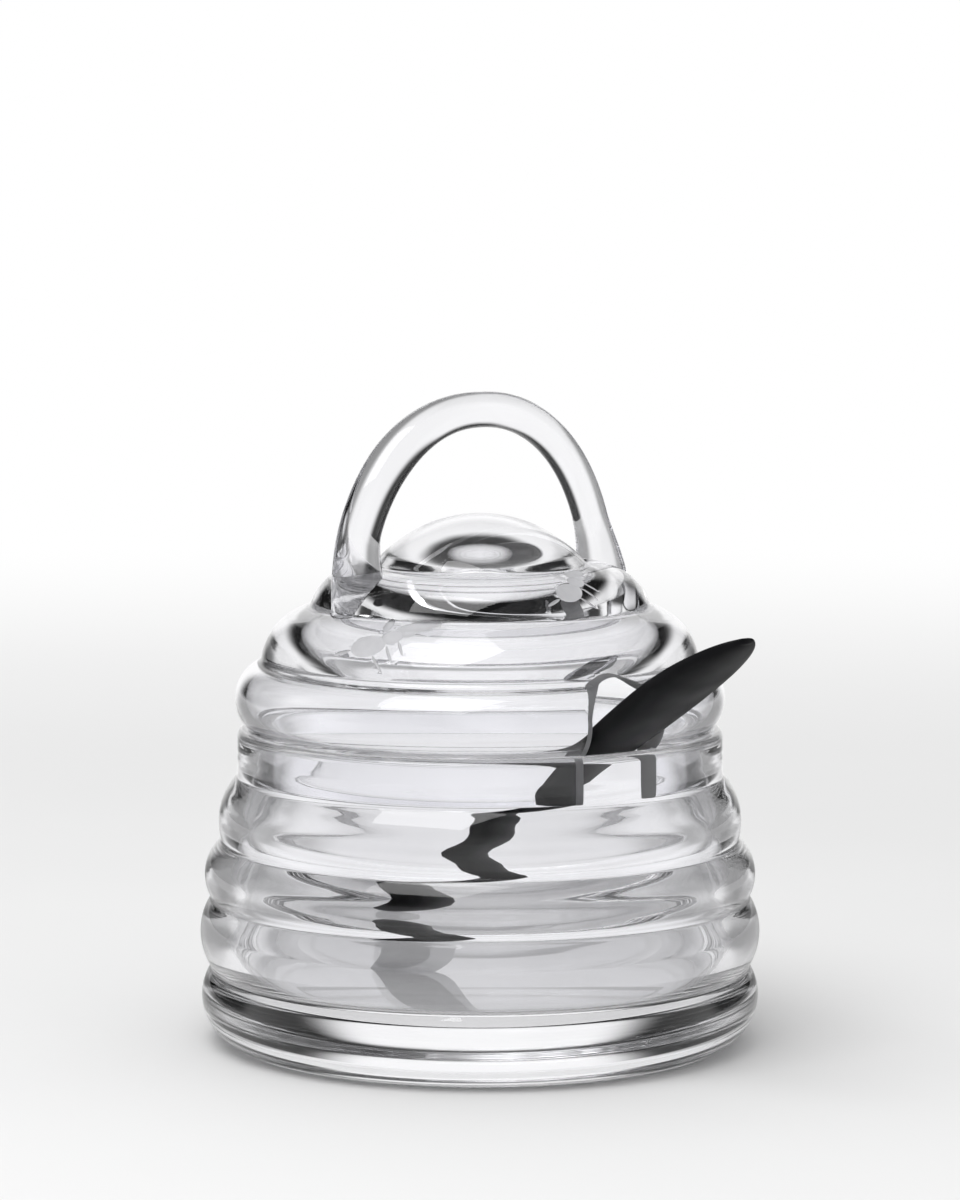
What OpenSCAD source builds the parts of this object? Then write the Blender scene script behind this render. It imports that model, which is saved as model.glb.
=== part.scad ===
// Beehive honey pot: a ribbed glass pot, a stepped glass lid with a loop handle, and a horn spoon
// that leans through a notch in the lid. Origin: centre of the flat base, +Z up, notch towards +X.

/* [Pot] */
// Radius of the flat base
base_r = 52.5; // [45:0.5:56]
// Height of the base rib
base_rib_h = 16.3; // [13:0.1:20]
// Height of the lower rib
lower_rib_h = 15; // [12:0.1:18]
// Height of the upper rib
upper_rib_h = 12.1; // [10:0.1:15]
// Height of the rounded shoulder below the neck
shoulder_h = 13.9; // [11:0.1:17]
// Height of the straight neck
neck_h = 10.2; // [8:0.1:14]
// Radius of the groove above the base rib
low_groove_r = 57.7; // [55:0.1:62]
// Radius of the groove above the lower rib
mid_groove_r = 57.7; // [55:0.1:62]
// Radius of the groove above the upper rib
top_groove_r = 55.5; // [54:0.1:59]
// Outer radius of the neck
neck_r = 52; // [48:0.1:54]
// How far the base rib swells out of its chord
base_bulge = 4.5; // [3.5:0.1:5.5]
// How far the lower rib swells
lower_bulge = 2.4; // [1.5:0.1:3.5]
// How far the upper rib swells
upper_bulge = 2.4; // [1.5:0.1:3.2]
// How far the shoulder swells
shoulder_bulge = 2; // [1.2:0.1:3]
// Thickness of the belly's glass behind the grooves
wall = 4.2; // [3:0.1:6]
// Thickness of the neck's glass
neck_wall = 3.6; // [3:0.1:5]
// Thickness of the solid floor
floor_t = 14; // [8:0.5:18]
// Radius between the floor and the wall
floor_round = 10; // [6:0.5:14]
// Rounding of the rim's outer edge
rim_round = 1.8; // [0.8:0.1:2.2]
// Chamfer of the rim's inner edge
rim_lip = 0.5; // [0.3:0.1:0.8]

/* [Lid] */
// How far the lid's edge laps onto the rim
seat_lap = 0.7; // [0.4:0.1:1.2]
// Radius of the crease above the lowest tier
low_step_r = 46.9; // [44:0.1:49]
// Radius of the crease above the middle tier
top_step_r = 36.4; // [33:0.1:39]
// Radius of the dome's foot
dome_r = 23; // [19:0.5:26]
// Height of the lowest tier
low_tier_h = 14.4; // [12:0.1:17]
// Height of the middle tier
mid_tier_h = 11.7; // [10:0.1:14]
// Height of the top tier
top_tier_h = 8.7; // [7:0.1:11]
// Height of the dome
dome_h = 11; // [8:0.5:14]
// How far the lowest tier swells out of its chord
low_tier_bulge = 4.1; // [3.4:0.1:4.8]
// How far the middle tier swells
mid_tier_bulge = 2.5; // [1.8:0.1:3.2]
// How far the top tier swells
top_tier_bulge = 3; // [2.2:0.1:3.6]
// Thickness of the lid's glass
lid_wall = 3.5; // [2.5:0.1:4.2]
// Depth of the flange that drops into the neck
flange_h = 10.5; // [7:0.5:13]
// Thickness of the flange
flange_t = 4; // [3:0.1:5]
// Gap between the flange and the neck, all round
flange_gap = 0.4; // [0.2:0.05:0.8]

/* [Spoon notch] */
// Width of the notch
notch_w = 19; // [17.5:0.5:22]
// Height of the notch above the rim
notch_h = 16.5; // [13:0.5:19]
// How much the arch's radius exceeds half the notch's width
notch_arch_ease = 0.2; // [0.1:0.1:2]

/* [Loop handle] */
// Distance from the crease under the top tier in to the thick leg's centre line
thick_leg_inset = 2.6; // [1:0.1:6]
// Distance from that crease in to the slim leg's centre line
slim_leg_inset = 4.4; // [2:0.1:8]
// Height of the loop's centre line above the crease under the top tier
loop_rise = 41.9; // [34:0.1:48]
// How square the loop's shoulders are, where 2 is an ellipse
loop_square = 2.15; // [2:0.05:2.6]
// Rod diameter at the crown
crown_d = 7.7; // [6:0.1:10]
// Rod diameter down the thick leg, where the hot rod was first set down
thick_leg_d = 9.2; // [8:0.1:11]
// Rod diameter down the slim leg, where the pulled rod ends
slim_leg_d = 7.7; // [6:0.1:10]
// Diameter of the feet, where the legs spread on the lid
foot_d = 12; // [11:0.1:14]
// How far the feet spread outwards more than inwards
foot_toe = 1.2; // [0:0.1:2]

/* [Spoon] */
// Length of the spoon
spoon_l = 150; // [140:1:175]
// Length of the bowl
bowl_l = 42; // [34:1:48]
// Distance from the bowl's tip to its widest place
bowl_mid = 19; // [15:0.5:23]
// Gap on each side of the bowl as it passes the notch
bowl_gap = 1; // [0.6:0.1:2.5]
// Depth of the bowl's underside below its edge
bowl_belly = 4.4; // [3.6:0.1:5]
// Depth of the hollow in the bowl
bowl_hollow = 3.4; // [2:0.1:3.6]
// Height of the bowl's rounded edge
bowl_edge = 0.9; // [0.6:0.1:1.4]
// Length over which the bowl runs out into the stem
stem_blend = 6; // [3:0.5:10]
// Width of the stem
stem_w = 10; // [7:0.1:12]
// Thickness of the stem
stem_t = 4.5; // [3.5:0.1:5.5]
// Greatest width of the leaf-shaped grip
grip_w = 19; // [15:0.5:23]
// Thickness of the grip
grip_t = 5.4; // [4:0.1:6]
// Length of the grip, from the stem to its tip
grip_l = 90; // [75:1:96]
// Distance from the grip's widest place to its tip
grip_point = 27; // [22:0.5:34]
// How far the grip's tip curves down
grip_droop = 1.4; // [0:0.1:3.5]
// Height of the bend between the bowl and the grip
spoon_bend = 0.7; // [0.5:0.05:2]
// Distance from the bowl's tip to the round at the edge of the floor
tip_margin = 6; // [2.5:0.5:9]
// Gap between the spoon and the glass that it leans on
spoon_gap = 0.3; // [0.2:0.05:0.6]

/* [Hidden] */
$fn = 128;

arc_steps = 8;
past = 1;
glass = [0.84, 0.88, 0.9, 0.5];
rod_glass = [0.92, 0.95, 0.97, 0.7];
horn = [0.09, 0.09, 0.1];

// Heights and corner points of the pot's profile, as [radius, height]
low_groove = [low_groove_r, base_rib_h];
mid_groove = [mid_groove_r, low_groove.y + lower_rib_h];
top_groove = [top_groove_r, mid_groove.y + upper_rib_h];
neck_foot = [neck_r, top_groove.y + shoulder_h];
rim_z = neck_foot.y + neck_h;
neck_ir = neck_r - neck_wall;
rim_x = neck_ir + rim_lip;
belly_r = low_groove_r - wall;

// Corner points of the lid's profile
seat = [rim_x + seat_lap, rim_z];
low_step = [low_step_r, seat.y + low_tier_h];
top_step = [top_step_r, low_step.y + mid_tier_h];
dome_foot = [dome_r, top_step.y + top_tier_h];
dome_ball_r = (dome_r * dome_r + dome_h * dome_h) / (2 * dome_h);
dome_ball = [0, dome_foot.y + dome_h - dome_ball_r];
flange_r = neck_ir - flange_gap;
flange_ir = flange_r - flange_t;
flange_z = rim_z - flange_h;
notch_arch_r = notch_w / 2 + notch_arch_ease;
notch_arch_z = rim_z + notch_h - notch_arch_r;

// A swelling rib is a circle through two corner points, bulging by a given height off their chord
function rib_radius(p, q, bulge) = (pow(norm(q - p), 2) / 4 + bulge * bulge) / (2 * bulge);
function rib_centre(p, q, bulge) =
    (p + q) / 2 - [(q - p).y, -(q - p).x] / norm(q - p) * (rib_radius(p, q, bulge) - bulge);
function round_arc(centre, r, from, to) =
    [for (i = [0:arc_steps]) centre + r * [cos(from + (to - from) * i / arc_steps),
                                           sin(from + (to - from) * i / arc_steps)]];
function smooth(t) = let (k = max(0, min(1, t))) k * k * (3 - 2 * k);
function mix(a, b, t) = a + (b - a) * t;

module rib(p, q, bulge, inset = 0)
    translate(rib_centre(p, q, bulge)) circle(r = rib_radius(p, q, bulge) - inset);

// Pot

pot_ribs = [
    [[base_r, 0], low_groove, base_bulge],
    [low_groove, mid_groove, lower_bulge],
    [mid_groove, top_groove, upper_bulge],
    [top_groove, neck_foot, shoulder_bulge]
];

module pot_outside() {
    centres = [for (k = pot_ribs) rib_centre(k[0], k[1], k[2])];
    core = concat(
        [[0, 0], [centres[0].x, 0]],
        centres,
        [neck_foot - [0, shoulder_h / 4]],
        round_arc([neck_r - rim_round, rim_z - rim_round], rim_round, 0, 90),
        [[0, rim_z]]);
    intersection() {
        union() {
            for (k = pot_ribs) rib(k[0], k[1], k[2]);
            polygon(core);
        }
        square([2 * neck_r, rim_z]);
    }
}

module pot_inside() {
    polygon(concat(
        [[0, floor_t]],
        round_arc([belly_r - floor_round, floor_t + floor_round], floor_round, -90, 0),
        [mid_groove - [wall, 0], top_groove - [wall, 0], [neck_ir, neck_foot.y - wall]],
        [[neck_ir, rim_z - rim_lip], [rim_x, rim_z], [rim_x, rim_z + past], [0, rim_z + past]]));
}

module pot() {
    color(glass) rotate_extrude() difference() {
        pot_outside();
        pot_inside();
    }
}

// Lid

lid_tiers = [
    [seat, low_step, low_tier_bulge],
    [low_step, top_step, mid_tier_bulge],
    [top_step, dome_foot, top_tier_bulge]
];

module lid_profile(inset = 0) {
    intersection() {
        union() {
            for (k = lid_tiers) rib(k[0], k[1], k[2], inset);
            translate(dome_ball) circle(r = dome_ball_r - inset);
            polygon(concat(
                [[0, rim_z], [flange_ir, rim_z]],
                [for (k = lid_tiers) rib_centre(k[0], k[1], k[2])],
                [[0, dome_foot.y - lid_wall]]));
        }
        translate([0, rim_z]) square(2 * neck_r);
    }
}

module notch() {
    rotate([90, 0, 90]) linear_extrude(2 * neck_r) intersection() {
        translate([-notch_w / 2, flange_z - past]) square([notch_w, flange_h + notch_h + 2 * past]);
        union() {
            translate([0, notch_arch_z]) circle(r = notch_arch_r);
            translate([-notch_w, flange_z - 2 * past])
                square([2 * notch_w, notch_arch_z - flange_z + 2 * past]);
        }
    }
}

module lid() {
    color(glass) difference() {
        rotate_extrude() difference() {
            union() {
                lid_profile();
                translate([0, flange_z]) square([flange_r, flange_h + past]);
            }
            lid_profile(lid_wall);
            translate([0, flange_z - past]) square([flange_ir, flange_h + low_tier_h / 2]);
        }
        notch();
    }
}

// A closed skin over a row of rings that all have the same number of points
module skin(rings) {
    m = len(rings[0]);
    last = (len(rings) - 1) * m;
    polyhedron(
        points = [for (ring = rings) each ring],
        faces = concat(
            [[for (i = [0:m - 1]) i]],
            [for (k = [0:len(rings) - 2], i = [0:m - 1])
                let (a = k * m + i, b = k * m + (i + 1) % m) each [[a, a + m, b], [b, a + m, b + m]]],
            [[for (i = [m - 1:-1:0]) last + i]]),
        convexity = 6);
}

// Loop handle: a round rod along a squared half ellipse, its feet spread where they meet the lid

loop_rings = 41;
loop_sides = 20;
// Tilts round the loop, from 0 at the crown: where the legs reach their thickness, where the feet
// start and end their spread, and where the rod stops inside the lid
leg_tilt = 45;
foot_tilt = [66, 92];
loop_sweep = 98;

function squared(x) = sign(x) * pow(abs(x), 2 / loop_square);
function foot_mix(tilt) = smooth((abs(tilt) - foot_tilt[0]) / (foot_tilt[1] - foot_tilt[0]));
function loop_d(tilt) =
    let (leg = mix(crown_d, tilt < 0 ? thick_leg_d : slim_leg_d, smooth(abs(tilt) / leg_tilt)))
    mix(leg, foot_d, foot_mix(tilt));
function loop_at(tilt) =
    let (reach = top_step_r - (tilt < 0 ? thick_leg_inset : slim_leg_inset))
    [reach * squared(sin(tilt)) + sign(tilt) * foot_toe * foot_mix(tilt),
     top_step.y + loop_rise * squared(cos(tilt))];

function loop_ring(tilt) =
    let (at = loop_at(tilt), along = loop_at(tilt + 1) - loop_at(tilt - 1),
         side = [-along.y, along.x] / norm(along))
    [for (i = [0:loop_sides - 1])
        let (a = 360 * i / loop_sides, r = loop_d(tilt) / 2)
        [r * sin(a), at.x + r * cos(a) * side.x, at.y + r * cos(a) * side.y]];

module lid_handle() {
    color(rod_glass) difference() {
        skin([for (k = [0:loop_rings - 1]) loop_ring(mix(-loop_sweep, loop_sweep, k / (loop_rings - 1)))]);
        rotate_extrude() lid_profile();
    }
}

// Spoon: a loft along its length, from the bowl's tip on the floor to the grip's tip outside

spoon_rings = 49;
spoon_sides = 24;
bowl_w = notch_w - 2 * bowl_gap;
stem_start = bowl_l + stem_blend;
grip_start = spoon_l - grip_l;
grip_mid = spoon_l - grip_point;
spoon_reach = belly_r - floor_round - tip_margin;
// The tip turns up over its last stretch
tip_lift = 1.5;
tip_run = 12;
// Smallest half width and share of the full thickness left at the two ends
end_half_w = 0.4;
end_share = 0.25;
// Share of the grip's thickness that lies on its underside
grip_belly = 0.66;
// Height of the bend's middle, and how square the section is above and below its edge
bend_middle = 0.3;
crest_power = 0.5;
belly_power = 0.8;

function round_end(t) = sqrt(max(0, 1 - t * t));
function spoon_end(u) = u < bowl_mid ? round_end(1 - u / bowl_mid)
                      : u > grip_mid ? round_end((u - grip_mid) / (spoon_l - grip_mid)) : 1;
function in_bowl(u) = 1 - smooth((u - bowl_mid) / (stem_start - bowl_mid));
function in_grip(u) = smooth((u - grip_start) / (grip_mid - grip_start));
function spoon_mix(u, bowl, stem, grip) = mix(mix(stem, bowl, in_bowl(u)), grip, in_grip(u));

function half_width(u) = max(end_half_w, spoon_mix(u, bowl_w, stem_w, grip_w) / 2 * spoon_end(u));
function thin_end(u) = max(end_share, spoon_end(u));
function belly(u) = thin_end(u) * spoon_mix(u, bowl_belly, stem_t / 2, grip_t * grip_belly);
function crest(u) = thin_end(u) * spoon_mix(u, bowl_edge, stem_t / 2, grip_t * (1 - grip_belly));
function hollow(u) = thin_end(u) * spoon_mix(u, bowl_hollow, 0, 0);
function bend(u) = spoon_bend * (bend_middle - cos(360 * (u - bowl_l / 2) / spoon_l))
                 + tip_lift * pow(max(0, 1 - u / tip_run), 2)
                 - grip_droop * pow(max(0, u - grip_mid) / grip_point, 2);
function underside(u) = bend(u) - belly(u);

function spoon_ring(u) =
    [for (i = [0:spoon_sides - 1])
        let (a = 360 * i / spoon_sides, s = sin(a))
        [u, half_width(u) * cos(a),
         bend(u) + (s > 0 ? crest(u) * pow(s, crest_power) - hollow(u) * s * s
                          : -belly(u) * pow(-s, belly_power))]];

// The spoon leans on the rim and stands on the floor by its tip
rough_lean = atan2(rim_z - floor_t, rim_x + spoon_reach);
tip_sink = min([for (u = [0:0.25:tip_run]) u * sin(rough_lean) + underside(u) * cos(rough_lean)]);
spoon_foot = [-spoon_reach, floor_t + spoon_gap - tip_sink];
rim_rest = [rim_x, rim_z + spoon_gap] - spoon_foot;
spoon_lean = atan2(rim_rest.y, rim_rest.x) - atan2(underside(norm(rim_rest)), norm(rim_rest));

module spoon() {
    color(horn) translate([spoon_foot.x, 0, spoon_foot.y]) rotate([0, -spoon_lean, 0])
        skin([for (k = [0:spoon_rings - 1])
            spoon_ring(spoon_l * (1 - cos(180 * k / (spoon_rings - 1))) / 2)]);
}

pot();
lid();
lid_handle();
spoon();
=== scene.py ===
# Beehive honey pot in clear blown glass with a dark horn spoon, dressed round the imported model
import math

import bmesh
import bpy
from mathutils import Matrix, Vector
from mathutils.geometry import interpolate_bezier


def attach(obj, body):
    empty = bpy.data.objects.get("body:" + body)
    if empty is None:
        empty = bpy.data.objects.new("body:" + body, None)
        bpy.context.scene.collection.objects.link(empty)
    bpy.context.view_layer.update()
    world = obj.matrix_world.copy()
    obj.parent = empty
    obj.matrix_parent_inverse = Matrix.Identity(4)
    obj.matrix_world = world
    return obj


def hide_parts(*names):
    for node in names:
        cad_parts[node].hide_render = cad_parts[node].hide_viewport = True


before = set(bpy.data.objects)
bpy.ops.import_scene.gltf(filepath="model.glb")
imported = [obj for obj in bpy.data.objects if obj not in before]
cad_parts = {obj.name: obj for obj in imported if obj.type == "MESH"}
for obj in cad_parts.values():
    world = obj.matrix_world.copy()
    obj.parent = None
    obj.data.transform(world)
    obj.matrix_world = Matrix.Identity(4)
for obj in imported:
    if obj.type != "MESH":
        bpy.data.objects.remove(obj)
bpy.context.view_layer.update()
scene = bpy.context.scene
mm = 0.001
print("frame loaded:", sorted(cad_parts))


# camera first: long lens, a little above the rim, spoon to the right
cameraSet = {"azimuth": 53.5, "elevation": 6.3, "distance": 1.0, "lens": 140.4, "sensor": 36, "clipEnd": 20,
             "aimHeight": 94.7 * mm}


def lookFrom(azimuth, elevation):
    a, e = math.radians(azimuth), math.radians(elevation)
    return Vector((math.sin(a) * math.cos(e), -math.cos(a) * math.cos(e), math.sin(e)))


def addCamera(s):
    cam = bpy.data.objects.new("camera", bpy.data.cameras.new("camera"))
    cam.data.lens = s["lens"]
    cam.data.sensor_width = s["sensor"]
    cam.data.clip_end = s["clipEnd"]
    back = lookFrom(s["azimuth"], s["elevation"])
    cam.location = Vector((0, 0, s["aimHeight"])) + back * s["distance"]
    cam.rotation_euler = back.to_track_quat("Z", "Y").to_euler()
    scene.collection.objects.link(cam)
    scene.camera = cam


addCamera(cameraSet)
print("camera set")


# each value is a setting of the node, or else one of its inputs with _ for a blank
def addNode(tree, kind, at=(0, 0), **values):
    node = tree.nodes.new(kind)
    node.location = at
    for key, value in values.items():
        if hasattr(node, key):
            setattr(node, key, value)
        else:
            node.inputs[key.replace("_", " ")].default_value = value
    return node


def startMaterial(name):
    material = bpy.data.materials.new(name)
    material.use_nodes = True
    material.node_tree.nodes.clear()
    tree = material.node_tree
    shader = addNode(tree, "ShaderNodeBsdfPrincipled", (300, 0))
    out = addNode(tree, "ShaderNodeOutputMaterial", (600, 0))
    tree.links.new(shader.outputs[0], out.inputs["Surface"])
    return material, tree, shader


# between two colours, which are inputs 6 and 7 of the node, with output 2 for the result
def mixColours(tree, share, low, high, at):
    node = addNode(tree, "ShaderNodeMix", at, data_type="RGBA")
    node.inputs[6].default_value = low
    node.inputs[7].default_value = high
    tree.links.new(share, node.inputs[0])
    return node.outputs[2]


# slow swell of hot-worked glass, with a faint haze and a faint tint that drift over the surface
waverSet = {"rippleShare": 0.03, "hazeFrom": 0.35, "hazeTo": 0.7}


def makeWaverGroup(s):
    group = bpy.data.node_groups.new("hotGlassWaver", "ShaderNodeTree")
    group.interface.new_socket("Vector", in_out="INPUT", socket_type="NodeSocketVector")
    for name in ("Swell", "Ripple", "Haze Low", "Haze High"):
        group.interface.new_socket(name, in_out="INPUT", socket_type="NodeSocketFloat")
    for name in ("Height", "Haze", "Drift"):
        group.interface.new_socket(name, in_out="OUTPUT", socket_type="NodeSocketFloat")
    start = addNode(group, "NodeGroupInput", (-700, 0))
    end = addNode(group, "NodeGroupOutput", (500, 0))
    swell = addNode(group, "ShaderNodeTexNoise", (-400, 150), Detail=1.0, Roughness=0.4)
    ripple = addNode(group, "ShaderNodeTexNoise", (-400, -150), Detail=2.0, Roughness=0.5)
    for node, scale in ((swell, "Swell"), (ripple, "Ripple")):
        group.links.new(start.outputs["Vector"], node.inputs["Vector"])
        group.links.new(start.outputs[scale], node.inputs["Scale"])
    both = addNode(group, "ShaderNodeMath", (-150, 100), operation="MULTIPLY_ADD")
    both.inputs[1].default_value = s["rippleShare"]
    group.links.new(ripple.outputs["Fac"], both.inputs[0])
    group.links.new(swell.outputs["Fac"], both.inputs[2])
    haze = addNode(group, "ShaderNodeMapRange", (-150, -150), From_Min=s["hazeFrom"], From_Max=s["hazeTo"])
    group.links.new(ripple.outputs["Fac"], haze.inputs["Value"])
    group.links.new(start.outputs["Haze Low"], haze.inputs["To Min"])
    group.links.new(start.outputs["Haze High"], haze.inputs["To Max"])
    group.links.new(both.outputs[0], end.inputs["Height"])
    group.links.new(haze.outputs["Result"], end.inputs["Haze"])
    group.links.new(swell.outputs["Fac"], end.inputs["Drift"])
    return group


waver = makeWaverGroup(waverSet)

glassSet = {"ior": 1.5, "tintLow": (0.962, 0.962, 0.98, 1), "tintHigh": (0.986, 0.986, 1.0, 1), "transmission": 1.0,
            "swell": 34, "ripple": 120, "hazeLow": 0.0, "hazeHigh": 0.008, "bump": 0.04, "bumpDepth": 0.2 * mm}
groundSet = {"ior": 1.5, "tintLow": (0.42, 0.42, 0.435, 1), "tintHigh": (0.53, 0.53, 0.545, 1), "transmission": 0.25,
             "swell": 300, "ripple": 2600, "hazeLow": 0.45, "hazeHigh": 0.6, "bump": 0.3, "bumpDepth": 0.05 * mm}
etchedSet = {"ior": 1.5, "tintLow": (0.53, 0.53, 0.55, 1), "tintHigh": (0.63, 0.63, 0.65, 1), "transmission": 0.3,
             "swell": 500, "ripple": 3500, "hazeLow": 0.5, "hazeHigh": 0.7, "bump": 0.3, "bumpDepth": 0.04 * mm}


def makeGlass(name, s):
    material, tree, shader = startMaterial(name)
    coords = addNode(tree, "ShaderNodeTexCoord", (-900, 0))
    group = addNode(tree, "ShaderNodeGroup", (-600, 0), node_tree=waver, Swell=s["swell"], Ripple=s["ripple"],
                    Haze_Low=s["hazeLow"], Haze_High=s["hazeHigh"])
    tint = mixColours(tree, group.outputs["Drift"], s["tintLow"], s["tintHigh"], (-250, 200))
    bump = addNode(tree, "ShaderNodeBump", (-250, -250), Strength=s["bump"], Distance=s["bumpDepth"])
    tree.links.new(coords.outputs["Object"], group.inputs["Vector"])
    tree.links.new(group.outputs["Height"], bump.inputs["Height"])
    tree.links.new(tint, shader.inputs["Base Color"])
    tree.links.new(group.outputs["Haze"], shader.inputs["Roughness"])
    tree.links.new(bump.outputs["Normal"], shader.inputs["Normal"])
    shader.inputs["IOR"].default_value = s["ior"]
    shader.inputs["Transmission Weight"].default_value = s["transmission"]
    return material


clearGlass = makeGlass("clearGlass", glassSet)
groundGlass = makeGlass("groundGlass", groundSet)
etchedGlass = makeGlass("etchedGlass", etchedSet)

# horn: near black, with grain along the spoon's lean and a buffed sheen that comes and goes
hornSet = {"ior": 1.45, "gloss": 0.1, "dark": (0.002, 0.002, 0.003, 1), "pale": (0.011, 0.011, 0.012, 1),
           "lean": 31, "grain": (30, 260, 260), "buff": 90.0, "buffFrom": 0.3, "buffTo": 0.7, "roughLow": 0.3,
           "roughHigh": 0.46, "bump": 0.12, "bumpDepth": 0.08 * mm}


def makeHorn(s):
    material, tree, shader = startMaterial("darkHorn")
    coords = addNode(tree, "ShaderNodeTexCoord", (-1100, 0))
    along = addNode(tree, "ShaderNodeMapping", (-900, 0), Rotation=(0, math.radians(s["lean"]), 0), Scale=s["grain"])
    grain = addNode(tree, "ShaderNodeTexNoise", (-650, 100), Scale=1.0, Detail=4.0, Roughness=0.55)
    buff = addNode(tree, "ShaderNodeTexNoise", (-650, -200), Scale=s["buff"], Detail=2.0)
    colour = mixColours(tree, grain.outputs["Fac"], s["dark"], s["pale"], (-250, 250))
    rough = addNode(tree, "ShaderNodeMapRange", (-250, 0), From_Min=s["buffFrom"], From_Max=s["buffTo"],
                    To_Min=s["roughLow"], To_Max=s["roughHigh"])
    bump = addNode(tree, "ShaderNodeBump", (-250, -300), Strength=s["bump"], Distance=s["bumpDepth"])
    tree.links.new(coords.outputs["Object"], along.inputs["Vector"])
    tree.links.new(along.outputs["Vector"], grain.inputs["Vector"])
    tree.links.new(coords.outputs["Object"], buff.inputs["Vector"])
    tree.links.new(buff.outputs["Fac"], rough.inputs["Value"])
    tree.links.new(grain.outputs["Fac"], bump.inputs["Height"])
    tree.links.new(colour, shader.inputs["Base Color"])
    tree.links.new(rough.outputs["Result"], shader.inputs["Roughness"])
    tree.links.new(bump.outputs["Normal"], shader.inputs["Normal"])
    shader.inputs["IOR"].default_value = s["ior"]
    shader.inputs["Specular IOR Level"].default_value = s["gloss"]
    return material


darkHorn = makeHorn(hornSet)
print("materials made")


# profiles are wires of (radius, height) points in mm, drawn in the XZ plane and spun about the axis
def arcThrough(p, q, bulge):
    chord = q - p
    radius = (chord.length_squared / 4 + bulge * bulge) / (2 * bulge)
    outward = Vector((chord.y, -chord.x)).normalized()
    return (p + q) / 2 - outward * (radius - bulge), radius


def toSpace(p):
    return Vector((p.x * mm, 0, p.y * mm))


def lastVert(bm):
    bm.verts.ensure_lookup_table()
    return bm.verts[-1]


def vertsOf(geom):
    return [g for g in geom if isinstance(g, bmesh.types.BMVert)]


def startWire(p):
    bm = bmesh.new()
    bmesh.ops.create_vert(bm, co=toSpace(p))
    return bm


def lineTo(bm, p):
    vert = bmesh.ops.extrude_vert_indiv(bm, verts=[lastVert(bm)])["verts"][0]
    vert.co = toSpace(p)
    return vert


def arcAbout(bm, centre, angle, steps):
    bmesh.ops.spin(bm, geom=[lastVert(bm)], cent=toSpace(centre), axis=(0, -1, 0), angle=angle, steps=steps)
    return lastVert(bm)


def arcTo(bm, p, centre, turn, steps):  # turn is 1 anticlockwise, -1 clockwise
    last = lastVert(bm).co
    a = Vector((last.x / mm, last.z / mm)) - centre
    b = p - centre
    angle = math.atan2(a.cross(b), a.dot(b))
    if angle * turn < 0:
        angle += turn * 2 * math.pi
    vert = arcAbout(bm, centre, angle, steps)
    vert.co = toSpace(p)
    return vert


# a soft line through points, each span a bezier whose handles follow its neighbours
def curveThrough(bm, points, steps):
    lineTo(bm, points[0])
    for k in range(len(points) - 1):
        before, p, q, after = points[max(k - 1, 0)], points[k], points[k + 1], points[min(k + 2, len(points) - 1)]
        for point in interpolate_bezier(p, p + (q - before) / 6, q - (after - p) / 6, q, steps + 1)[1:]:
            lineTo(bm, point)


def roundOff(bm, corners, size, segments):
    bmesh.ops.bevel(bm, geom=corners, offset=size * mm, offset_type="OFFSET", segments=segments, profile=0.5,
                    affect="VERTICES", material=-1)


seam = 0.005 * mm  # points this close are one point
sliver = 0.01 * mm  # and so are these along a cut
sharpFrom = math.radians(42)  # a cut's edges bend more than this


def closeMesh(bm):
    bmesh.ops.remove_doubles(bm, verts=bm.verts, dist=seam)
    bmesh.ops.recalc_face_normals(bm, faces=bm.faces)


def spinWire(bm, steps):
    bmesh.ops.spin(bm, geom=bm.verts[:] + bm.edges[:], cent=(0, 0, 0), axis=(0, 0, 1), angle=2 * math.pi,
                   steps=steps, use_merge=True)
    closeMesh(bm)


def addObject(name, bm, *materials):
    mesh = bpy.data.meshes.new(name)
    bm.to_mesh(mesh)
    bm.free()
    for material in materials:
        mesh.materials.append(material)
    mesh.shade_smooth()
    obj = bpy.data.objects.new(name, mesh)
    scene.collection.objects.link(obj)
    return obj


def cutWith(obj, cutter, operation="DIFFERENCE", overlaps=False):
    cut = obj.modifiers.new("cut", "BOOLEAN")
    cut.operation = operation
    cut.solver = "EXACT"
    cut.object = cutter
    cut.material_mode = "TRANSFER"
    cut.use_self = overlaps
    done = bpy.data.meshes.new_from_object(obj.evaluated_get(bpy.context.evaluated_depsgraph_get()))
    obj.modifiers.clear()
    old, obj.data = obj.data, done
    done.name = obj.name
    bpy.data.meshes.remove(old)
    bpy.data.objects.remove(cutter)
    # slivers left along the cut are merged away
    bm = bmesh.new()
    bm.from_mesh(done)
    bmesh.ops.remove_doubles(bm, verts=bm.verts, dist=sliver)
    bmesh.ops.dissolve_degenerate(bm, edges=bm.edges, dist=sliver)
    bmesh.ops.triangulate(bm, faces=[f for f in bm.faces if len(f.verts) > 4])
    bm.to_mesh(done)
    bm.free()


def smoothButEdges(obj):
    obj.data.shade_smooth()
    obj.data.set_sharp_from_angle(angle=sharpFrom)


def dress(obj, body, slot, *nodes):
    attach(obj, body)
    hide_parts(*nodes)
    print("made", obj.name, len(obj.data.polygons), "faces")


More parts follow.
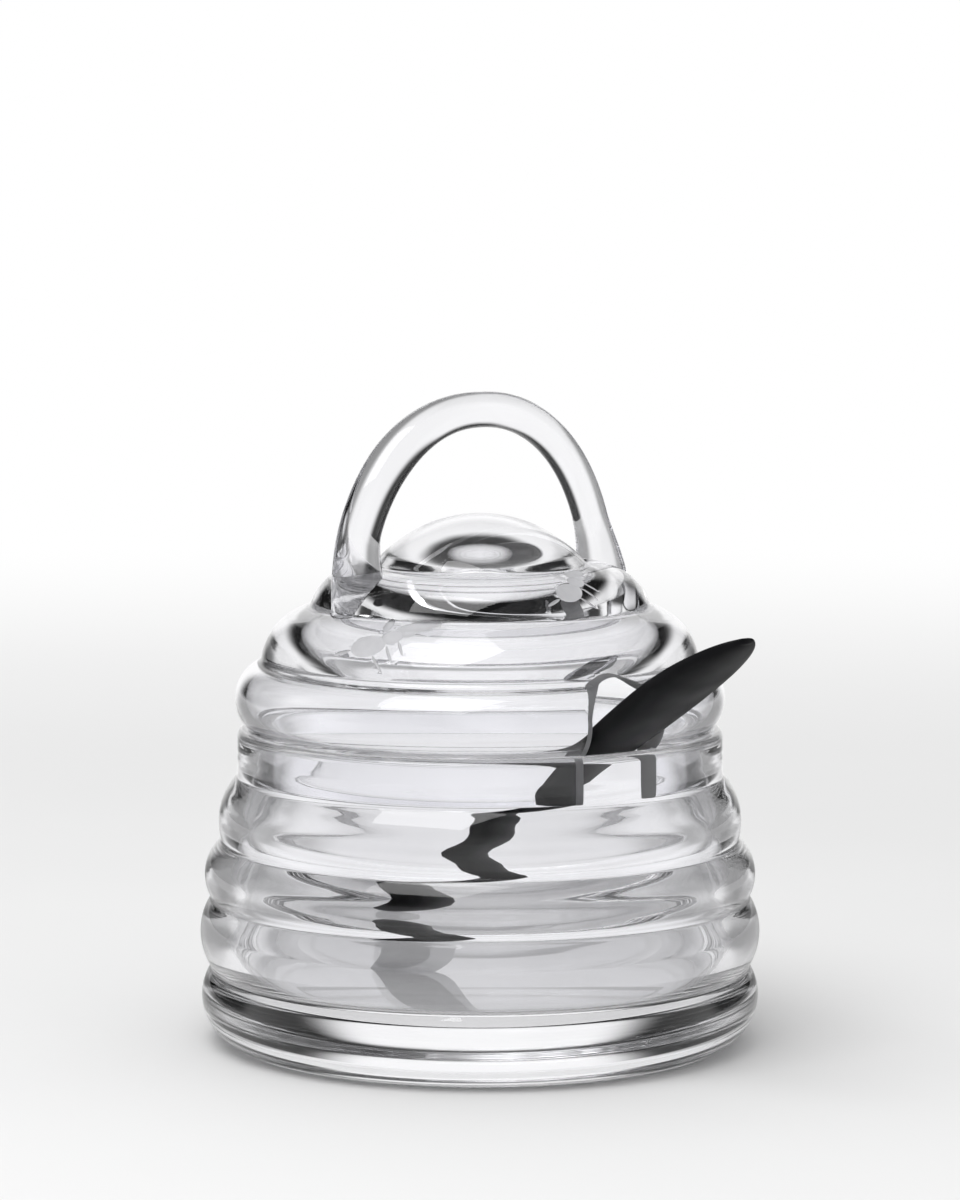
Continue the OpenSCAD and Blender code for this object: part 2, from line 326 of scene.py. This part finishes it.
# pot: four ribs between sharp grooves, a straight neck, and an inside that follows the ribs softly
potSet = {"baseR": 52.5, "baseRibH": 16.3, "lowerRibH": 15, "upperRibH": 12.1, "shoulderH": 13.9, "neckH": 10.2,
          "lowGrooveR": 57.7, "midGrooveR": 57.7, "topGrooveR": 55.5, "neckR": 52, "baseBulge": 4.5,
          "lowerBulge": 2.37, "upperBulge": 2.4, "shoulderBulge": 2, "neckWall": 3.6, "floorT": 14,
          "floorRound": 10, "rimRound": 1.8, "rimLip": 0.5, "lipRound": 0.2, "grooveRound": 0.7,
          "insideWall": ((48.4, 62), (48.4, 59), (49, 56.5), (50.45, 53.5), (51.45, 50), (51.4, 46.5), (51.55, 43.4),
                         (53.3, 40.4), (54.35, 37.3), (53.95, 34.3), (53.2, 31.3), (54, 27.5), (54.5, 24)),
          "steps": 192}


def potCorners(s):
    base = Vector((s["baseR"], 0))
    low = Vector((s["lowGrooveR"], s["baseRibH"]))
    mid = Vector((s["midGrooveR"], low.y + s["lowerRibH"]))
    top = Vector((s["topGrooveR"], mid.y + s["upperRibH"]))
    neck = Vector((s["neckR"], top.y + s["shoulderH"]))
    return base, low, mid, top, neck


potBase, lowGroove, midGroove, topGroove, neckFoot = potCorners(potSet)
rimZ = neckFoot.y + potSet["neckH"]
neckInnerR = potSet["neckR"] - potSet["neckWall"]
rimX = neckInnerR + potSet["rimLip"]


def makePot(s):
    bm = startWire(Vector((0, 0)))
    grooves = [lineTo(bm, potBase)]
    start = potBase
    for corner, bulge in ((lowGroove, s["baseBulge"]), (midGroove, s["lowerBulge"]), (topGroove, s["upperBulge"]),
                          (neckFoot, s["shoulderBulge"])):
        grooves.append(arcTo(bm, corner, arcThrough(start, corner, bulge)[0], turn=1, steps=14))
        start = corner
    lineTo(bm, Vector((s["neckR"], rimZ - s["rimRound"])))
    arcAbout(bm, Vector((s["neckR"] - s["rimRound"], rimZ - s["rimRound"])), math.pi / 2, steps=8)
    lip = [lineTo(bm, Vector((rimX, rimZ))), lineTo(bm, Vector((neckInnerR, rimZ - s["rimLip"])))]
    curveThrough(bm, [Vector(p) for p in s["insideWall"]], steps=5)
    low = Vector(s["insideWall"][-1])
    arcAbout(bm, low - Vector((s["floorRound"], 0)), -math.pi / 2, steps=12)
    lineTo(bm, Vector((0, s["floorT"])))
    roundOff(bm, grooves, s["grooveRound"], segments=4)
    roundOff(bm, lip, s["lipRound"], segments=2)
    spinWire(bm, s["steps"])
    return addObject("glass_pot", bm, clearGlass)


dress(makePot(potSet), "pot", "clear_glass", "pot")


# lid: three tiers and a dome, on a flange that drops into the neck
lidSet = {"seatLap": 0.7, "lowStepR": 46.9, "topStepR": 36.4, "domeR": 23, "lowTierH": 14.4, "midTierH": 11.7,
          "topTierH": 8.7, "domeH": 11, "lowBulge": 4.1, "midBulge": 2.5, "topBulge": 3, "lowWall": 2.4,
          "insideLine": ((0, 106.4), (4.5, 106), (9, 104.6), (15, 101.4), (21.8, 98), (28, 94.4), (34.1, 90.9)),
          "flangeH": 10.5, "flangeT": 4, "flangeGap": 0.4, "endRound": 0.8, "seatRound": 0.2, "creaseRound": 0.8,
          "innerRound": 1.2, "steps": 192}
lidSeat = Vector((rimX + lidSet["seatLap"], rimZ))
lowStep = Vector((lidSet["lowStepR"], lidSeat.y + lidSet["lowTierH"]))
topStep = Vector((lidSet["topStepR"], lowStep.y + lidSet["midTierH"]))
domeFoot = Vector((lidSet["domeR"], topStep.y + lidSet["topTierH"]))
domeTop = Vector((0, domeFoot.y + lidSet["domeH"]))
flangeR = neckInnerR - lidSet["flangeGap"]
flangeInnerR = flangeR - lidSet["flangeT"]
flangeZ = rimZ - lidSet["flangeH"]
domeBall = (domeFoot.x ** 2 + lidSet["domeH"] ** 2) / (2 * lidSet["domeH"])
lidArcs = [arcThrough(lidSeat, lowStep, lidSet["lowBulge"]), arcThrough(lowStep, topStep, lidSet["midBulge"]),
           arcThrough(topStep, domeFoot, lidSet["topBulge"]), (Vector((0, domeTop.y - domeBall)), domeBall)]


# the outer of the two points where two circles cross
def circlesMeet(one, two):
    (a, ra), (b, rb) = one, two
    gap = b - a
    along = (gap.length_squared + ra * ra - rb * rb) / (2 * gap.length)
    across = math.sqrt(max(0, ra * ra - along * along))
    unit = gap.normalized()
    return a + unit * along + Vector((unit.y, -unit.x)) * across


# where the low tier's circle comes down to the inside of the flange
def flangeTop(centre, radius):
    return Vector((flangeInnerR, centre.y - math.sqrt(radius ** 2 - (flangeInnerR - centre.x) ** 2)))


# the inside runs smoother than the outside, so the glass is thick in each tier and thin at the creases
def drawInside(bm, s):
    low, mid = [(centre, radius - s["lowWall"]) for centre, radius in lidArcs[:2]]
    line = [Vector(p) for p in s["insideLine"]] + [circlesMeet(low, mid)]
    bmesh.ops.create_vert(bm, co=toSpace(line[0]))
    curveThrough(bm, line, steps=8)
    return [lastVert(bm), arcTo(bm, flangeTop(*low), low[0], turn=-1, steps=18)]


def makeLid(s):
    start = Vector((flangeInnerR, flangeZ + s["flangeH"] / 2))
    bm = startWire(start)
    ends = [lineTo(bm, Vector((flangeInnerR, flangeZ))), lineTo(bm, Vector((flangeR, flangeZ)))]
    seats = [lineTo(bm, Vector((flangeR, rimZ))), lineTo(bm, lidSeat)]
    creases = []
    for corner, arc in zip((lowStep, topStep, domeFoot), lidArcs):
        creases.append(arcTo(bm, corner, arc[0], turn=1, steps=16))
    arcTo(bm, domeTop, lidArcs[3][0], turn=1, steps=20)
    bends = drawInside(bm, s)
    lineTo(bm, start)
    roundOff(bm, ends, s["endRound"], segments=4)
    roundOff(bm, seats, s["seatRound"], segments=2)
    roundOff(bm, creases, s["creaseRound"], segments=4)
    roundOff(bm, bends, s["innerRound"], segments=5)
    spinWire(bm, s["steps"])
    return addObject("glass_lid", bm, clearGlass)


lid = makeLid(lidSet)
print("lid turned", len(lid.data.polygons))

# tunnel through the lid's front for the spoon, with an arched top and flat sides that open outwards
notchSet = {"width": 19, "height": 15.4, "archEase": 0.2, "archSteps": 32, "below": 2, "start": 20, "depth": 60,
            "innerShare": 0.68, "outerShare": 1.3}


def makeNotch(s):
    half = s["width"] / 2
    archR = half + s["archEase"]
    archZ = rimZ + s["height"] - archR
    spring = math.acos(half / archR)
    startX, footZ = s["start"] * mm, (flangeZ - s["below"]) * mm
    bm = bmesh.new()
    bmesh.ops.create_vert(bm, co=(startX, half * mm, footZ))
    side = bmesh.ops.extrude_vert_indiv(bm, verts=[lastVert(bm)])["verts"][0]
    side.co.z = (archZ + archR * math.sin(spring)) * mm
    bmesh.ops.spin(bm, geom=[side], cent=(startX, 0, archZ * mm), axis=(1, 0, 0), angle=math.pi - 2 * spring,
                   steps=s["archSteps"])
    foot = bmesh.ops.extrude_vert_indiv(bm, verts=[lastVert(bm)])["verts"][0]
    foot.co.z = footZ
    bmesh.ops.contextual_create(bm, geom=bm.verts[:])
    outer = vertsOf(bmesh.ops.extrude_face_region(bm, geom=bm.faces[:])["geom"])
    inner = [v for v in bm.verts if v not in outer]
    bmesh.ops.translate(bm, vec=(s["depth"] * mm, 0, 0), verts=outer)
    bmesh.ops.scale(bm, vec=(1, s["outerShare"], 1), verts=outer)
    bmesh.ops.scale(bm, vec=(1, s["innerShare"], 1), verts=inner)
    closeMesh(bm)
    return addObject("notch_cutter", bm, groundGlass)


cutWith(lid, makeNotch(notchSet))
print("notch cut", len(lid.data.polygons))

# two small bees cut and frosted in the lid; each part is (across, up, half length, half width, turn)
beeParts = {
    "abdomen": (-2.7, -1.2, 2.9, 2.2, 24), "thorax": (0.4, 0.7, 1.7, 1.5, 20), "head": (2.5, 1.6, 1.1, 1.0, 20),
    "longWing": (3.4, 3.3, 3.5, 1.5, 28), "shortWing": (-1.5, 3.2, 1.9, 0.7, 100),
    "frontLeg": (2.2, -1.3, 1.6, 0.22, -62), "midLeg": (0.8, -2.4, 1.9, 0.22, -60),
    "backLeg": (-0.6, -3.9, 2.0, 0.22, -50), "feeler": (4.6, 2.2, 1.6, 0.24, 18),
    "otherFeeler": (4.2, 1.2, 1.3, 0.24, -8), "sting": (-6.3, -2.6, 1.4, 0.3, 18)}
beeCut = {"depth": 0.5, "fullWidth": 0.8, "around": 20, "along": 10}  # parts thinner than fullWidth are cut less deep
bees = {"sideBee": {"tier": 1, "azimuth": -63, "slope": 49, "size": 1.5, "turn": 0},
        "frontBee": {"tier": 2, "azimuth": 4, "slope": 58, "size": 1.3, "turn": 8}}


# a place on a tier: turn round the axis, then up the tier's arc, with the outward, across and up directions
def onTier(tier, azimuth, slope):
    centre, radius = lidArcs[tier]
    out = Vector((math.cos(azimuth) * math.cos(slope), math.sin(azimuth) * math.cos(slope), math.sin(slope)))
    across = Vector((-math.sin(azimuth), math.cos(azimuth), 0))
    hub = Vector((centre.x * math.cos(azimuth), centre.x * math.sin(azimuth), centre.y))
    return hub + out * radius, out, across, out.cross(across)


def makeBee(name, s):
    bm, body = bmesh.new(), None
    centre, radius = lidArcs[s["tier"]]
    azimuth, slope, lean = (math.radians(s[key]) for key in ("azimuth", "slope", "turn"))
    girth = centre.x + radius * math.cos(slope)
    for x, y, half, thin, turn in beeParts.values():
        u = (x * math.cos(lean) - y * math.sin(lean)) * s["size"]
        v = (x * math.sin(lean) + y * math.cos(lean)) * s["size"]
        at, out, across, up = onTier(s["tier"], azimuth + u / girth, slope + v / radius)
        place = Matrix((across, up, out)).transposed().to_4x4()
        place.translation = at * mm
        deep = beeCut["depth"] * min(1, thin / beeCut["fullWidth"]) ** 0.5
        shape = Matrix.Rotation(math.radians(turn) + lean, 4, "Z") @ Matrix.Diagonal(
            (half * s["size"] * mm, thin * s["size"] * mm, deep * mm, 1))
        bmesh.ops.create_uvsphere(bm, u_segments=beeCut["around"], v_segments=beeCut["along"], radius=1,
                                  matrix=place @ shape)
        if body is None:  # the abdomen comes first, and the rest is joined to it
            body, bm = addObject(name, bm, etchedGlass), bmesh.new()
    cutWith(body, addObject(name + "_limbs", bm, etchedGlass), "UNION", overlaps=True)
    return body


for name, values in bees.items():
    cutWith(lid, makeBee(name, values))
smoothButEdges(lid)
dress(lid, "lid", "clear_glass", "lid")

# loop handle: a rod drawn ring by ring along a squared half ellipse, feet spread on the top tier
loopSet = {"thickInset": 2.6, "slimInset": 4.4, "rise": 41.9, "square": 2.15, "crownD": 7.7, "thickD": 9.2,
           "slimD": 7.7, "footD": 12, "thickToe": -2.4, "slimToe": 1.2, "legTilt": 45, "footTilt": (66, 92),
           "sweep": 98, "sink": 0.3, "rings": 97, "sides": 40, "coreSteps": 128}


def smooth(t):
    t = min(1, max(0, t))
    return t * t * (3 - 2 * t)


def mix(a, b, t):
    return a + (b - a) * t


def loopMatrix(s, tilt):
    def squared(x):
        return math.copysign(abs(x) ** (2 / s["square"]), x)

    def footShare(t):
        return smooth((abs(t) - s["footTilt"][0]) / (s["footTilt"][1] - s["footTilt"][0]))

    def at(t):
        reach = topStep.x - (s["thickInset"] if t < 0 else s["slimInset"])
        turn = math.radians(t)
        toe = s["thickToe"] if t < 0 else s["slimToe"]
        return Vector((0, reach * squared(math.sin(turn)) + math.copysign(toe, t * toe) * footShare(t),
                       topStep.y + s["rise"] * squared(math.cos(turn))))

    leg = mix(s["crownD"], s["thickD"] if tilt < 0 else s["slimD"], smooth(abs(tilt) / s["legTilt"]))
    radius = mix(leg, s["footD"], footShare(tilt)) / 2
    along = (at(tilt + 1) - at(tilt - 1)).normalized()
    place = Matrix((Vector((1, 0, 0)), along.cross(Vector((1, 0, 0))), along)).transposed().to_4x4()
    place.translation = at(tilt) * mm
    return place @ Matrix.Diagonal((radius * mm, radius * mm, 1, 1))


# the lid's form a little inside its outer face, to trim the loop's feet
def makeCore(s):
    rings = [(centre, radius - s["sink"]) for centre, radius in lidArcs]
    bm = startWire(domeTop - Vector((0, s["sink"])))
    for k in (2, 1, 0):
        arcTo(bm, circlesMeet(rings[k], rings[k + 1]), rings[k + 1][0], turn=-1, steps=12)
    arcTo(bm, flangeTop(*rings[0]), rings[0][0], turn=-1, steps=18)
    lineTo(bm, Vector((0, rimZ)))
    spinWire(bm, s["coreSteps"])
    return addObject("lid_core", bm, clearGlass)


def makeHandle(s):
    bm = bmesh.new()
    tilts = [mix(-s["sweep"], s["sweep"], k / (s["rings"] - 1)) for k in range(s["rings"])]
    before = loopMatrix(s, tilts[0])
    bmesh.ops.create_circle(bm, cap_ends=True, segments=s["sides"], radius=1, matrix=before)
    ring = bm.edges[:]
    for tilt in tilts[1:]:
        grown = bmesh.ops.extrude_edge_only(bm, edges=ring)["geom"]
        verts = vertsOf(grown)
        fresh = set(verts)
        ring = [g for g in grown if isinstance(g, bmesh.types.BMEdge) and set(g.verts) <= fresh]
        after = loopMatrix(s, tilt)
        bmesh.ops.transform(bm, matrix=after @ before.inverted(), verts=verts)
        before = after
    bmesh.ops.contextual_create(bm, geom=ring)
    closeMesh(bm)
    handle = addObject("loop_handle", bm, clearGlass)
    cutWith(handle, makeCore(s))
    smoothButEdges(handle)
    return handle


dress(makeHandle(loopSet), "lid", "clear_glass", "lid_handle")

# spoon: a ball drawn out into a shallow bowl, a round stem and a flat pointed grip
spoonSet = {"length": 150, "bowlL": 42, "bowlMid": 19, "bowlW": 17, "belly": 4.4, "hollow": 3.4, "edge": 0.9,
            "stemBlend": 6, "stemW": 10, "stemT": 4.5, "gripW": 19, "gripT": 5.4, "gripL": 90, "gripPoint": 27,
            "gripDroop": 1.4, "bend": 0.7, "reach": 37.5, "gap": 0.3, "tipLift": 1.5, "tipRun": 12, "endShare": 0.25,
            "endFade": 0.2, "gripBelly": 0.66, "bendMiddle": 0.3, "crestPower": 0.5, "bellyPower": 0.8,
            "around": 56, "along": 120}


def spoonShape(s, u):
    gripMid = s["length"] - s["gripPoint"]
    gripStart = s["length"] - s["gripL"]
    stemStart = s["bowlL"] + s["stemBlend"]
    inBowl = 1 - smooth((u - s["bowlMid"]) / (stemStart - s["bowlMid"]))
    inGrip = smooth((u - gripStart) / (gripMid - gripStart))

    def blend(bowl, stem, grip):
        return mix(mix(stem, bowl, inBowl), grip, inGrip)

    end = max(1 - u / s["bowlMid"], (u - gripMid) / s["gripPoint"], 0)
    end = math.sqrt(max(0, 1 - end * end))
    thin = max(s["endShare"] * min(1, end / s["endFade"]), end)
    wave = s["bendMiddle"] - math.cos(2 * math.pi * (u - s["bowlL"] / 2) / s["length"])
    lift = (s["bend"] * wave + s["tipLift"] * max(0, 1 - u / s["tipRun"]) ** 2
            - s["gripDroop"] * (max(0, u - gripMid) / s["gripPoint"]) ** 2)
    return {"halfW": blend(s["bowlW"], s["stemW"], s["gripW"]) / 2 * end,
            "belly": thin * blend(s["belly"], s["stemT"] / 2, s["gripT"] * s["gripBelly"]),
            "crest": thin * blend(s["edge"], s["stemT"] / 2, s["gripT"] * (1 - s["gripBelly"])),
            "hollow": thin * blend(s["hollow"], 0, 0), "lift": lift}


# the tip stands on the pot's floor and the stem leans on its rim
def spoonPlace(s):
    rough = math.atan2(rimZ - potSet["floorT"], rimX + s["reach"])

    def height(u):
        shape = spoonShape(s, u)
        return u * math.sin(rough) + (shape["lift"] - shape["belly"]) * math.cos(rough)

    sink = min(height(u / 4) for u in range(4 * s["tipRun"] + 1))  # lowest point, looked for every quarter mm
    foot = Vector((-s["reach"], potSet["floorT"] + s["gap"] - sink))
    rest = Vector((rimX, rimZ + s["gap"])) - foot
    under = spoonShape(s, rest.length)
    lean = math.atan2(rest.y, rest.x) - math.atan2(under["lift"] - under["belly"], rest.length)
    return Matrix.Translation(toSpace(foot)) @ Matrix.Rotation(-lean, 4, "Y")


def makeSpoon(s):
    bm = bmesh.new()
    bmesh.ops.create_uvsphere(bm, u_segments=s["around"], v_segments=s["along"], radius=1,
                              matrix=Matrix.Rotation(math.pi / 2, 4, "Y"))
    for vert in bm.verts:
        u = s["length"] * (1 + vert.co.x) / 2
        shape = spoonShape(s, u)
        ring = math.hypot(vert.co.y, vert.co.z)
        c, h = (vert.co.y / ring, vert.co.z / ring) if ring > 1e-5 else (0, 0)  # no direction at the two poles
        if h > 0:
            up = shape["crest"] * h ** s["crestPower"] - shape["hollow"] * h * h
        else:
            up = -shape["belly"] * (-h) ** s["bellyPower"]
        vert.co = Vector((u, shape["halfW"] * c, shape["lift"] + up)) * mm
    bmesh.ops.transform(bm, matrix=spoonPlace(s), verts=bm.verts)
    closeMesh(bm)
    return addObject("horn_spoon", bm, darkHorn)


dress(makeSpoon(spoonSet), "spoon", "horn", "spoon")


# stage: pale floor that lightens into a white surround, and light panels with dark gaps for the glass to show
white = (1, 1, 1, 1)
black = (0, 0, 0, 1)


def combine(tree, operation, a, b, at):
    node = addNode(tree, "ShaderNodeMath", at, operation=operation)
    tree.links.new(a, node.inputs[0])
    tree.links.new(b, node.inputs[1])
    return node.outputs[0]


def overlay(tree, share, under, over, at):
    node = addNode(tree, "ShaderNodeMixShader", at)
    for source, target in zip((share, under, over), node.inputs):
        tree.links.new(source, target)
    return node.outputs[0]


# a soft step from one value to another between two positions
def softStep(tree, source, fromAt, toAt, low, high, at):
    node = addNode(tree, "ShaderNodeMapRange", at, interpolation_type="SMOOTHSTEP", From_Min=fromAt, From_Max=toAt,
                   To_Min=low, To_Max=high)
    tree.links.new(source, node.inputs["Value"])
    return node.outputs["Result"]


# 1 where the camera sees the surface; and 1 also where a reflection or a view through glass meets it
def seenDirectly(tree, at):
    path = addNode(tree, "ShaderNodeLightPath", at)
    camera = path.outputs["Is Camera Ray"]
    either = combine(tree, "MAXIMUM", camera, path.outputs["Is Glossy Ray"], (at[0] + 200, at[1]))
    seen = combine(tree, "MAXIMUM", either, path.outputs["Is Transmission Ray"], (at[0] + 400, at[1]))
    return camera, seen


# how much of a light panel lies in a direction round the pot: one stands square behind it as the camera sees it
panelSet = {"count": 4, "half": 12, "gapFrom": 31, "frontTone": 0.4, "frontFade": (-0.5, 0.5)}


def makePanels(s):
    group = bpy.data.node_groups.new("lightPanels", "ShaderNodeTree")
    group.interface.new_socket("Vector", in_out="INPUT", socket_type="NodeSocketVector")
    group.interface.new_socket("Panel", in_out="OUTPUT", socket_type="NodeSocketFloat")
    start = addNode(group, "NodeGroupInput", (-800, 0))
    axes = addNode(group, "ShaderNodeSeparateXYZ", (-600, 0))
    group.links.new(start.outputs["Vector"], axes.inputs[0])
    around = combine(group, "ARCTAN2", axes.outputs["Y"], axes.outputs["X"], (-400, 0))
    facing = lookFrom(cameraSet["azimuth"], 0)
    turned = addNode(group, "ShaderNodeMath", (-200, 0), operation="MULTIPLY_ADD")
    turned.inputs[1].default_value = s["count"]
    turned.inputs[2].default_value = -s["count"] * math.atan2(-facing.y, -facing.x)
    wave = addNode(group, "ShaderNodeMath", (0, 0), operation="COSINE")
    group.links.new(around, turned.inputs[0])
    group.links.new(turned.outputs[0], wave.inputs[0])
    gap, half = (math.cos(math.radians(s["count"] * s[key])) for key in ("gapFrom", "half"))
    panel = softStep(group, wave.outputs[0], gap, half, 0, 1, (200, 0))
    # the panels nearer the camera are dimmer
    behind = addNode(group, "ShaderNodeVectorMath", (-200, -250), operation="NORMALIZE")
    along = addNode(group, "ShaderNodeVectorMath", (0, -250), operation="DOT_PRODUCT")
    along.inputs[1].default_value = -facing
    group.links.new(start.outputs["Vector"], behind.inputs[0])
    group.links.new(behind.outputs[0], along.inputs[0])
    share = softStep(group, along.outputs["Value"], *s["frontFade"], s["frontTone"], 1, (200, -250))
    end = addNode(group, "NodeGroupOutput", (600, 0))
    group.links.new(combine(group, "MULTIPLY", panel, share, (400, 0)), end.inputs["Panel"])
    return group


lightPanels = makePanels(panelSet)


def panelShare(tree, vector, at):
    node = addNode(tree, "ShaderNodeGroup", at, node_tree=lightPanels)
    tree.links.new(vector, node.inputs["Vector"])
    return node.outputs["Panel"]


# pairs are distances from the pot's axis, in metres, over which a tone comes in
# in glass the floor carries a painted reflection of the panels, painted shade between them and a painted glow under
# the pot
floorSet = {"radius": 4.0, "sides": 128, "drop": 0.02 * mm, "low": (0.8, 0.8, 0.8, 1), "high": (0.84, 0.84, 0.84, 1),
            "mottle": 6.0, "rough": 0.8, "gloss": 0.15, "white": (0.2, 1.1), "paintedReflectionRange": (0.12, 0.5),
            "dark": (0.06, 0.15), "gapTone": 0.42, "under": (0.045, 0.058), "paintedGlowShare": 0.5, "paintedGlowTone": 0.78}


def makeFloor(s):
    bm = bmesh.new()
    bmesh.ops.create_circle(bm, cap_ends=True, segments=s["sides"], radius=s["radius"])
    bmesh.ops.translate(bm, vec=(0, 0, -s["drop"]), verts=bm.verts)
    material, tree, shader = startMaterial("paleFloor")
    out = tree.nodes["Material Output"]
    out.location = (1100, 200)
    coords = addNode(tree, "ShaderNodeTexCoord", (-1000, 0)).outputs["Object"]
    noise = addNode(tree, "ShaderNodeTexNoise", (-600, 0), Scale=s["mottle"], Detail=3.0)
    tone = mixColours(tree, noise.outputs["Fac"], s["low"], s["high"], (-300, 0))
    tree.links.new(coords, noise.inputs["Vector"])
    tree.links.new(tone, shader.inputs["Base Color"])
    shader.inputs["Roughness"].default_value = s["rough"]
    shader.inputs["Specular IOR Level"].default_value = s["gloss"]
    length = addNode(tree, "ShaderNodeVectorMath", (-600, 300), operation="LENGTH")
    tree.links.new(coords, length.inputs[0])
    away = length.outputs["Value"]
    panel = panelShare(tree, coords, (-600, 900))
    camera, seen = seenDirectly(tree, (-600, 600))
    inGlass = combine(tree, "SUBTRACT", seen, camera, (50, 1150))
    # white far off, and in glass also nearer by a painted reflection of a panel, white where one stands behind
    far = combine(tree, "MULTIPLY", softStep(tree, away, *s["white"], 0, 1, (-300, 300)), seen, (50, 450))
    paintedReflection = combine(tree, "MULTIPLY", softStep(tree, away, *s["paintedReflectionRange"], 0, 1, (-300, 1650)), panel, (50, 1650))
    paintedReflection = combine(tree, "MULTIPLY", paintedReflection, inGlass, (300, 1650))
    surroundAndPaintedReflection = combine(tree, "MAXIMUM", far, paintedReflection, (450, 650))
    plain = addNode(tree, "ShaderNodeEmission", (300, -300), Color=white, Strength=1.0)
    surface = overlay(tree, surroundAndPaintedReflection, shader.outputs[0], plain.outputs[0], (600, 200))
    # under the pot, glass shows a painted glow on the floor in place of the light that it lets through
    under = softStep(tree, away, *s["under"], s["paintedGlowShare"], 0, (-300, 1400))
    under = combine(tree, "MULTIPLY", under, inGlass, (300, 1150))
    paintedGlow = addNode(tree, "ShaderNodeEmission", (300, -450), Color=white, Strength=s["paintedGlowTone"])
    surface = overlay(tree, under, surface, paintedGlow.outputs[0], (700, 400))
    # between the panels, glass shows the floor darker with painted shade, black emission laid over it
    paintedShadeShare = softStep(tree, panel, 0, 1, 1 - s["gapTone"], 0, (-300, 900))
    dark = combine(tree, "MULTIPLY", paintedShadeShare, softStep(tree, away, *s["dark"], 0, 1, (-300, 1150)), (50, 900))
    dark = combine(tree, "MULTIPLY", dark, inGlass, (300, 900))
    shade = addNode(tree, "ShaderNodeEmission", (600, -100), Color=black, Strength=0.0)
    surface = overlay(tree, dark, surface, shade.outputs[0], (850, 200))
    tree.links.new(surface, out.inputs["Surface"])
    addObject("floor", bm, material)


# pairs are heights above the floor, in degrees, over which the panels end and the light overhead begins
roomSet = {"fill": 0.8, "gapTone": 0.01, "panelTop": (24, 40), "topGap": 0.01, "topLight": (70, 79), "topTone": 0.85}


def makeWorld(s):
    world = bpy.data.worlds.new("studio")
    scene.world = world
    world.use_nodes = True
    tree = world.node_tree
    tree.nodes.clear()
    coords = addNode(tree, "ShaderNodeTexCoord", (-1400, 0)).outputs["Generated"]
    axes = addNode(tree, "ShaderNodeSeparateXYZ", (-1100, -250))
    tree.links.new(coords, axes.inputs[0])
    panelTop, topLight = ([math.sin(math.radians(v)) for v in s[key]] for key in ("panelTop", "topLight"))
    panel = softStep(tree, panelShare(tree, coords, (-1100, 100)), 0, 1, s["gapTone"], 1, (-800, 100))
    below = softStep(tree, axes.outputs["Z"], *panelTop, 1, 0, (-800, -150))
    above = softStep(tree, axes.outputs["Z"], *topLight, s["topGap"], s["topTone"], (-800, -400))
    tone = addNode(tree, "ShaderNodeMix", (-500, 0), data_type="FLOAT")
    for source, entry in ((below, 0), (above, 2), (panel, 3)):  # share, and the two values it goes between
        tree.links.new(source, tone.inputs[entry])
    room = addNode(tree, "ShaderNodeBackground", (-200, 0), Color=white)
    tree.links.new(tone.outputs[0], room.inputs["Strength"])
    fill = addNode(tree, "ShaderNodeBackground", (-200, 150), Color=white, Strength=s["fill"])
    plain = addNode(tree, "ShaderNodeBackground", (-200, -150), Color=white, Strength=1.0)
    camera, seen = seenDirectly(tree, (-700, 500))
    surround = overlay(tree, seen, fill.outputs[0], room.outputs[0], (50, 100))
    surround = overlay(tree, camera, surround, plain.outputs[0], (250, 0))
    out = addNode(tree, "ShaderNodeOutputWorld", (500, 0))
    tree.links.new(surround, out.inputs["Surface"])


makeFloor(floorSet)
makeWorld(roomSet)

keySet = {"from": (20, 62), "far": 0.9, "aimHeight": 70 * mm, "size": 0.6, "watts": 4}


def addLamp(name, s):
    lamp = bpy.data.objects.new(name, bpy.data.lights.new(name, "AREA"))
    lamp.data.size = s["size"]
    lamp.data.energy = s["watts"]
    away = lookFrom(*s["from"])
    lamp.location = away * s["far"] + Vector((0, 0, s["aimHeight"]))
    lamp.rotation_euler = away.to_track_quat("Z", "Y").to_euler()
    scene.collection.objects.link(lamp)


addLamp("key", keySet)
scene.view_settings.view_transform = "Standard"
scene.cycles.max_bounces = 32  # light crosses many walls of glass
scene.cycles.transmission_bounces = 32
scene.cycles.glossy_bounces = 16
print("stage lit")

bpy.context.view_layer.update()
